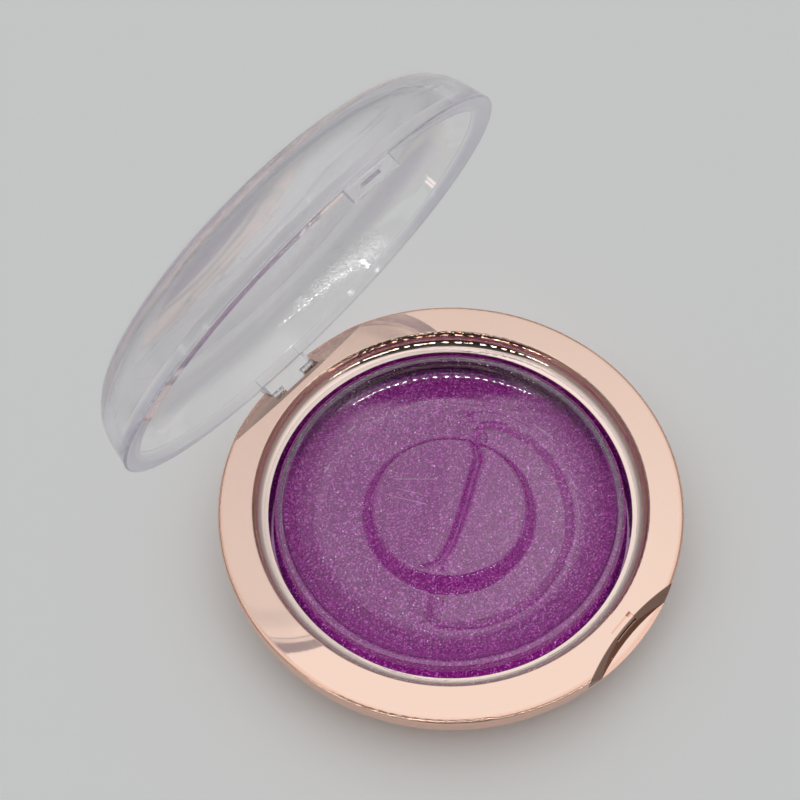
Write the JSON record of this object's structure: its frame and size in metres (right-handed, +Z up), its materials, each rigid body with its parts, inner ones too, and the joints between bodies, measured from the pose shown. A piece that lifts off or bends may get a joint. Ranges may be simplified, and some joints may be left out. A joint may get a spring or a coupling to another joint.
{
  "type": "false eyelash case",
  "caption": "Round plated eyelash case with a clear domed hinged lid, a glitter card and a clear formed lash tray with a raised disc.",
  "frame": {"origin": "centre of the foot ring on the table", "axes": "+Z up, +Y towards the hinge, -Y towards the thumb notch, +X along the hinge axis"},
  "size_m": [0.076, 0.0846, 0.0788],
  "materials": {
    "plated_plastic": "mirror-bright rose gold plating on plastic",
    "clear_plastic": "clear polished plastic",
    "pin_steel": "bright drawn steel",
    "glitter_card": "purple card with fine glitter",
    "clear_sheet": "clear formed sheet"
  },
  "bodies": {
    "base": {"base_shell": "plated_plastic", "deck_ring": "plated_plastic", "hinge_pin_right": "pin_steel", "hinge_pin_left": "pin_steel", "glitter_card": "glitter_card"},
    "lid": {"lid": "clear_plastic"},
    "tray": {"lash_tray": "clear_sheet"}
  },
  "joints": [
    {"name": "lid_hinge", "type": "hinge", "parent": "base", "child": "lid", "pos_m": [0, 0.0363, 0.00795], "axis": [-1, 0, 0], "range_deg": [-69.4, 30.6]},
    {"name": "tray_lift", "type": "slide", "parent": "base", "child": "tray", "axis": [0, 0, 1], "range_m": [0, 0.008]}
  ]
}
